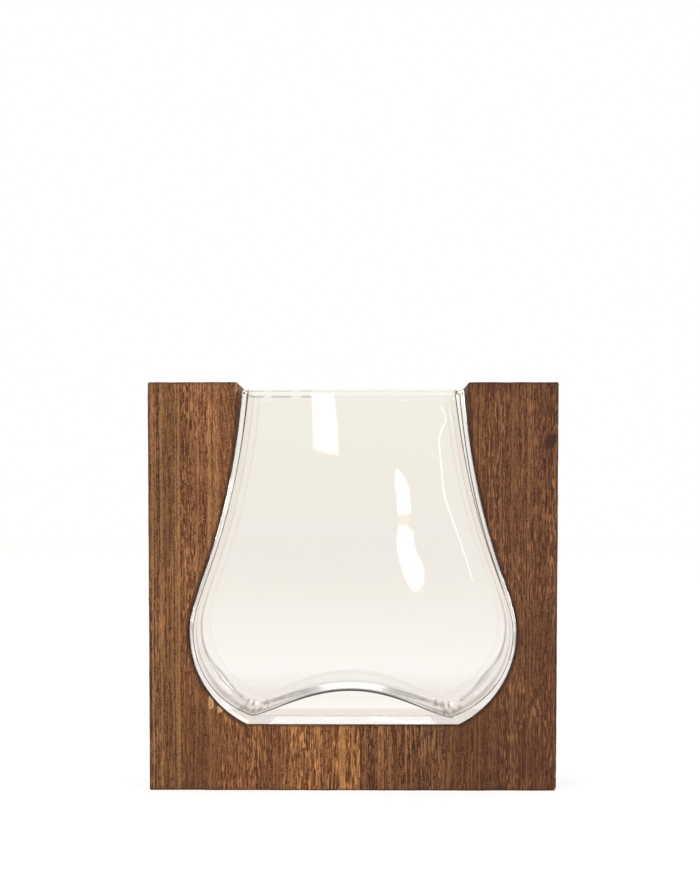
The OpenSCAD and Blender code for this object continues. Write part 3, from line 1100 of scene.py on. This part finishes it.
def aged_colour(t, board, shade, colour, layers, z):
    """Adds the stained top, the dark arrises and seams, and the raw wood of the chips."""
    if board.stain:
        wavy = t.math("MULTIPLY_ADD", layers["bands"], STAIN_WAVE, z)
        above = t.spread(wavy, STAIN_Z, STAIN_Z + STAIN_EDGE, 0.0, board.stain)
        colour = t.mix(above, colour, shade["stain"])
    fibres = layers["fibres"]
    edge = t.math("MULTIPLY", t.point_value("arris"), t.spread(fibres, *RANGES["arris"]))
    colour = t.mix(edge, colour, shade["arris"])
    colour = t.mix(t.math("MULTIPLY", t.point_value("seam"), SEAM_SHARE), colour, shade["seam"])
    split = t.ramp(fibres, [(0.3, RAW_SHADE), (0.6, RAW_WOOD)])
    return t.mix(t.spread(t.point_value("raw"), *RANGES["raw"]), colour, split)


def board_wood(name, board):
    """Oiled wood with the grain upright: growth bands, fine fibres, pale flecks and dark pores."""
    t = new_material(name)
    shade = board_shades(board.tone)
    place = t.add("TexCoord").outputs["Object"]
    parts = t.add("SeparateXYZ", {0: place}).outputs
    x, z = parts["X"], parts["Z"]
    knot = knot_share(t, x, z)
    grain = Grain(t, board, place, z, knot)
    value, layers = grain_value(t, grain, board.contrast)
    colour = lined_colour(t, grain, board, shade, value, layers["speckle"], x)
    colour = flecked_colour(t, grain, board, shade, colour, z)
    pore = t.spread(grain.streaks(*PORES), *RANGES["pores"])
    colour = t.mix(pore, colour, shade["pore"])
    colour = t.mix(t.spread(knot, *RANGES["knot"]), colour, shade["knot"])
    colour = aged_colour(t, board, shade, colour, layers, z)
    height = t.math("SUBTRACT", t.math("MULTIPLY", layers["fibres"], 0.5), pore)
    shader = t.add("BsdfPrincipled", {
        "Base Color": colour,
        "Roughness": t.spread(value, *RANGES["roughness"]),
        "Normal": t.add("Bump", {"Height": height, **BUMP}).outputs[0],
        "Specular IOR Level": WOOD_SHINE,
    })
    return t.finish(shader.outputs[0])


# Tint of the glass by height, partly its own warm cast and partly painted shade of the room and floor
# seen through it: warm up to the rim, paler in the belly
GLASS_TINT_AND_SHADE = (
    (0.033, (0.98, 0.975, 0.965, 1)),
    (0.042, (0.905, 0.88, 0.85, 1)),
    (0.050, (0.91, 0.89, 0.865, 1)),
    (0.0574, (0.950, 0.939, 0.921, 1)),
    (0.0747, (0.930, 0.921, 0.896, 1)),
    (0.0946, (0.924, 0.909, 0.868, 1)),
    (0.1145, (0.9215, 0.905, 0.866, 1)),
    (0.154, (0.9275, 0.908, 0.860, 1)),
    (0.189, (0.935, 0.919, 0.8645, 1)),
)
# The front of the foot is darkened below a soft edge with painted shade of the shadowed floor seen
# through it, all but the patch over the polished pad that it stands on
FOOT_SHADE_TONE = (0.68, 0.595, 0.53, 1)
FOOT_SHADE_Z = 41.0 * MM
PAD_Z = 36.9 * MM
PAD_SLANT = 0.8
FRONT_TINT = (1.2 * MM, 0.8 * MM)
CAST_EDGE = 0.5 * MM
PAD_END_EDGE = 0.2 * MM
PAD_TOP_EDGE = 0.15 * MM
# Colour of the painted shade that the glass's dark values mix in
PAINTED_SHADE_TONE = (0.02, 0.016, 0.012, 1)
SHEEN_TONE = (0.96, 0.90, 0.85, 1)
SHEEN_ANGLES = (0.70, 0.86)
GLASS_THROUGH = (0.73, 0.565, 0.275, 1)
GLASS_DENSITY = 1.5
GROUND_ROUGHNESS = 0.08
HAZE_CELLS = {"Scale": 28.0, "Detail": 3.0}
HAZE = (0.52, 0.8, 0.0, 0.03)
MIRROR_ROUGHNESS = 0.05
GLEAM_ROUGHNESS = 0.2
WHITE = (1, 1, 1, 1)


def glass_tint(t, place):
    """Tint of the glass by place: cast and painted shade by height and, on the front, a foot of painted
    shade and a clear pad.
    """
    parts = t.add("SeparateXYZ", {0: place}).outputs
    height = parts["Z"]
    share = t.spread(height, FOOT_Z, FOOT_Z + VASE_H)
    tone = t.ramp(share, [((z - FOOT_Z) / VASE_H, cast) for z, cast in GLASS_TINT_AND_SHADE])

    def below(value, top, edge):
        return t.spread(value, top + edge, top - edge)

    front = t.spread(parts["Y"], *(inset - DEPTH_HALF for inset in FRONT_TINT))
    # Painted shade of the shadowed floor seen through the front of the foot
    foot = t.math("MULTIPLY", front, below(height, FOOT_SHADE_Z, CAST_EDGE))
    tone = t.mix(foot, tone, FOOT_SHADE_TONE)
    slanted = t.math("MULTIPLY_ADD", height, PAD_SLANT, t.math("ABSOLUTE", parts["X"]))
    pad = t.math("MULTIPLY", front, below(slanted, PAD_HALF + PAD_SLANT * FOOT_Z, PAD_END_EDGE))
    pad = t.math("MULTIPLY", pad, below(height, PAD_Z, PAD_TOP_EDGE))
    return t.mix(pad, tone, WHITE)


def clear_glass():
    """Blown soda glass: a warm cast by depth, a tint by place that is partly painted shade, a sheen at low
    angles, and painted shade along creases.
    """
    t = new_material("clear_glass")
    place = t.add("TexCoord").outputs["Object"]
    haze = t.spread(t.add("TexNoise", {"Vector": place, **HAZE_CELLS}).outputs["Fac"], *HAZE)
    clear = t.add("BsdfPrincipled", {
        "Base Color": glass_tint(t, place),
        "Transmission Weight": 1.0,
        "IOR": 1.5,
        "Roughness": t.math("MULTIPLY_ADD", t.point_value("ground"), GROUND_ROUGHNESS, haze),
        "Coat Weight": 1.0,
        "Coat Roughness": 0.0,
    }).outputs[0]
    low_angle = t.spread(t.add("LayerWeight", {"Blend": 0.5}).outputs["Facing"], *SHEEN_ANGLES)
    sheen = t.math("MULTIPLY", t.point_value("sheen"), low_angle)
    mirror = t.add("BsdfAnisotropic", {"Color": SHEEN_TONE, "Roughness": MIRROR_ROUGHNESS}).outputs[0]
    gleam = t.add("BsdfAnisotropic", {"Color": WHITE, "Roughness": GLEAM_ROUGHNESS}).outputs[0]
    # Painted shade: a near-black diffuse mixed in by the points' dark values
    painted_shade = t.add("BsdfDiffuse", {"Color": PAINTED_SHADE_TONE}).outputs[0]
    surface = t.blend(t.point_value("gleam"), t.blend(sheen, clear, mirror), gleam)
    surface = t.blend(t.point_value("dark"), surface, painted_shade)
    through = t.add("VolumeAbsorption", {"Color": GLASS_THROUGH, "Density": GLASS_DENSITY})
    return t.finish(surface, Volume=through.outputs[0])


def make_staves():
    """Every stave of the block, left to right, with the wood that its slot asks for."""
    slots = {row["node"]: row["material_slot"] for row in frame["record"]["subparts"]}
    woods = {name: board_wood(name, board) for name, board in BOARDS.items()}

    def stave(node, grid):
        make_stave(node, grid, woods[slots[node]])

    low_x = {node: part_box(node)[0].x for node in slots}
    high_x = {node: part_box(node)[1].x for node in slots}

    def ends(node, z_from, z_to):
        return short_grid(low_x[node], high_x[node], z_from, z_to)

    def ground(x):
        return 0 * x

    left, third = low_x["left_flank_stave"], low_x["left_foot_stave"]
    right = low_x["right_edge_stave"]
    stave("left_edge_stave", upright_grid(lambda z: -side_x(z), lambda z: left + 0 * z))
    stave("left_flank_stave", upright_grid(lambda z: left + 0 * z, lambda z: np.minimum(third, -cut_x(z))))
    stave("right_edge_stave", upright_grid(lambda z: np.maximum(right, cut_x(z)), side_x))
    for node in ("left_foot_stave", "sill_left_stave", "sill_centre_stave", "sill_right_stave",
                 "right_foot_stave"):
        stave(node, ends(node, ground, under_cut))
    stave("left_neck_stave", short_grid(third, -NECK_X, over_cut, neck_top))
    stave("right_neck_stave", short_grid(NECK_X, right, over_cut, neck_top))


# Stage
FLOOR_HALF = 6.0
FLOOR_TONE = (0.8, 0.8, 0.8, 1)
FLOOR_SEEN_TONE = (0.35, 0.34, 0.33, 1)
FLOOR_GLOW = 0.792
WORLD_LIGHT = 0.6

# Lamps: place, width and height, and strength
LIGHT_AIM = Vector((0, 0, 0.1))
LIGHTS = {
    "key_light": ((-1.1, -1.3, 0.75), (0.5, 1.4), 3.2),
    "fill_light": ((1.4, -1.2, 0.75), (0.4, 1.4), 1.8),
    "top_light": ((0, 0.2, 1.7), (1.2, 1.2), 1.0),
}


def pale_floor():
    """White as the camera and the glass see it, and a plain pale floor to the light."""
    t = new_material("pale_floor")
    plain = t.add("BsdfDiffuse", {"Color": FLOOR_TONE}).outputs[0]
    lit = t.add("BsdfDiffuse", {"Color": FLOOR_SEEN_TONE}).outputs[0]
    glow = t.add("Emission", {"Color": WHITE, "Strength": FLOOR_GLOW}).outputs[0]
    shown = t.add("AddShader", {0: lit, 1: glow}).outputs[0]
    return t.finish(t.blend(t.looked_at(), plain, shown))


def make_floor():
    half = FLOOR_HALF
    corners = [(-half, -half, 0), (half, -half, 0), (half, half, 0), (-half, half, 0)]
    floor = mesh_object("floor", corners, [(0, 1, 2, 3)])
    floor.data.materials.append(pale_floor())


def make_world():
    """White where it is looked at, and a softer light on the object."""
    world = bpy.data.worlds.new("studio")
    bpy.context.scene.world = world
    t = Tree(world)
    strength = t.spread(t.looked_at(), 0.0, 1.0, WORLD_LIGHT, 1.0)
    back = t.add("Background", {"Color": WHITE, "Strength": strength}).outputs[0]
    t.finish(back, kind="OutputWorld")


def make_lights():
    """Softboxes, which don't show through the glass."""
    for name, (place, (width, height), strength) in LIGHTS.items():
        lamp = bpy.data.lights.new(name, "AREA")
        lamp.shape = "RECTANGLE"
        lamp.size = width
        lamp.size_y = height
        lamp.energy = strength * width * height * math.pi
        obj = bpy.data.objects.new(name, lamp)
        obj.location = place
        obj.rotation_euler = (LIGHT_AIM - Vector(place)).to_track_quat("-Z", "Y").to_euler()
        obj.visible_transmission = False
        bpy.context.scene.collection.objects.link(obj)


# Camera, found from the block's corners and the depth lines in the photograph
PHOTO_W = 700
PHOTO_H = 889
FOCAL_PX = 1550
AXIS_PX = (353, 575)
CAMERA_PLACE = np.array([6.0, -792.6, 143.7]) * MM
CAMERA_PITCH = math.radians(2.685)
CAMERA_YAW = math.radians(-0.444)
CAMERA_ROLL = math.radians(0.037)
SENSOR_W = 36


def make_camera():
    data = bpy.data.cameras.new("camera")
    data.sensor_width = SENSOR_W
    data.lens = FOCAL_PX / PHOTO_H * SENSOR_W
    data.shift_x = (PHOTO_W / 2 - AXIS_PX[0]) / PHOTO_H
    data.shift_y = (AXIS_PX[1] - PHOTO_H / 2) / PHOTO_H
    data.clip_start = 0.01
    camera = bpy.data.objects.new("camera", data)
    camera.location = CAMERA_PLACE
    camera.rotation_euler = (math.pi / 2 - CAMERA_PITCH, -CAMERA_ROLL, -CAMERA_YAW)
    bpy.context.scene.collection.objects.link(camera)
    bpy.context.scene.camera = camera


# Windows and lamps of the room behind the camera, which the front of the glass mirrors. The areas
# have a strength, a warmth and an outline, and the lines a strength, a width and a course, all as
# points (x, z) in millimetres where they show on the glass.
MIRROR_WALL_Y = -1.224
GLINTS = {
    "pane": (7.0, 0, ((-20.8, 199.5), (-9.9, 199.5), (-8.8, 192.0), (-7.4, 183.0), (-6.6, 166.7),
                   (-10.5, 166.9), (-15.4, 168.2), (-19.8, 169.7), (-20.3, 184.1))),
    "flame": (7.0, 0, ((21.0, 159.8), (21.6, 160.6), (22.8, 159.9), (24.6, 157.8), (26.3, 155.0),
                    (27.6, 151.5), (28.3, 146.5), (28.7, 141.0), (28.9, 137.8), (25.0, 136.9),
                    (22.0, 137.4), (21.6, 143.0), (20.9, 149.5), (20.3, 155.0))),
    "waist": (8.0, 1, ((22.2, 137.1), (28.3, 137.6), (28.6, 133.2), (22.0, 132.6))),
    "lobe": (7.0, 0, ((22.6, 133.6), (26.6, 133.4), (29.9, 130.2), (30.6, 124.0), (31.6, 119.5),
                   (34.4, 114.5), (36.0, 109.3), (35.4, 103.3), (33.6, 99.6), (30.0, 98.4),
                   (27.4, 102.4), (25.0, 107.2), (23.0, 114.0), (21.6, 120.6), (21.6, 128.0))),
    "wedge": (2.2, 0, ((28.3, 58.8), (31.7, 60.8), (36.0, 58.2), (39.2, 54.7), (34.0, 57.0))),
    "facet": (0.9, 0, ((-68.4, 81.2), (-63.0, 79.7), (-60.0, 76.2), (-60.5, 70.8), (-64.0, 74.7))),
}
GLINT_LINES = {
    "rim_dash": (3.0, 0.5, ((23.3, 198.3), (26.0, 198.2), (28.6, 197.8))),
    "second_rim_dash": (3.0, 0.5, ((41.0, 197.6), (43.1, 197.4), (45.2, 197.0))),
    "third_rim_dash": (3.0, 0.5, ((-42.0, 194.0), (-40.8, 194.3), (-39.6, 194.3))),
    "second_thread": (2.4, 0.5, ((46.8, 190.6), (48.2, 185.6), (49.8, 180.4))),
    "thread": (4.6, 0.8, ((43.1, 191.1), (45.2, 187.5), (46.1, 184.1), (43.6, 180.0), (42.5, 176.6),
                           (42.4, 170.7), (43.6, 161.7), (45.6, 146.8), (48.6, 136.9), (53.1, 124.5),
                           (59.5, 104.6))),
    "edge_gleam": (1.6, 0.4, ((-44.9, 196.5), (-46.4, 188.0), (-47.4, 181.0), (-48.6, 174.2))),
    "belly_gleam": (1.2, 0.5, ((-60.0, 70.8), (-57.5, 63.0), (-53.6, 57.6), (-50.1, 54.4))),
}

# How the cards glow, from their middle to their rim
GLOW_STOPS = [(0.0, WHITE), (0.72, WHITE), (1.0, (1.0, 0.74, 0.48, 1))]
RIM_GLOW = 0.25
RIM_START = 0.75
RING_SHARES = (0.4, 0.82, 1.0)
RING_EDGES = (0.0, 0.7, 1.0)
LINE_COUNT = 40
LINE_TAPER = 0.15


def behind_camera(points):
    """Places on the wall behind the camera that the glass front mirrors at points (x, z) in mm."""
    seen = np.array(points) * MM
    eye = CAMERA_PLACE[[0, 2]]
    grow = (-DEPTH_HALF - MIRROR_WALL_Y) / (-DEPTH_HALF - CAMERA_PLACE[1])
    place = seen + (seen - eye) * grow
    return np.stack([place[:, 0], np.full(len(place), MIRROR_WALL_Y), place[:, 1]], 1)


def glow_card(name, points, faces, strength, rim):
    """A glowing card that only mirrors see, warmer and weaker towards its rim."""
    card = mesh_object(name + "_glint", points, faces)
    keep_value(card, "rim", rim)
    t = new_material(name + "_glow")
    edge = t.point_value("rim")
    power = t.spread(edge, RIM_START, 1.0, strength, RIM_GLOW * strength)
    glow = t.add("Emission", {"Color": t.ramp(edge, GLOW_STOPS), "Strength": power})
    card.data.materials.append(t.finish(glow.outputs[0]))
    card.visible_diffuse = False
    card.visible_shadow = False
    card.visible_transmission = False


def make_glints():
    for name, (strength, warmth, outline) in GLINTS.items():
        rim = behind_camera(outline)
        middle = rim.mean(0)
        rings = [middle + (rim - middle) * share for share in RING_SHARES]
        count = len(rim)
        rows = np.arange(len(rings) * count).reshape(-1, count)
        edge = np.repeat(np.maximum(RING_EDGES, warmth), count)
        glow_card(name, np.vstack(rings), [rows[0]] + quads(rows, closed=True), strength, edge)
    n = LINE_COUNT
    taper = np.sin(np.linspace(LINE_TAPER, math.pi - LINE_TAPER, n)) ** 0.5
    for name, (strength, width, line) in GLINT_LINES.items():
        line = resample(np.array(line), n)
        aside = sideways(line) * (width * taper / 2)[:, None]
        points = behind_camera(np.vstack([line - aside, line + aside]))
        glow_card(name, points, quads(np.arange(2 * n).reshape(2, n)), strength, np.zeros(2 * n))


def make_scene():
    make_camera()
    make_glass()
    make_staves()
    make_floor()
    make_world()
    make_lights()
    make_glints()
    scene = bpy.context.scene
    scene.view_settings.view_transform = "Standard"
    scene.cycles.max_bounces = 24
    scene.cycles.transmission_bounces = 24
    scene.cycles.glossy_bounces = 12


make_scene()
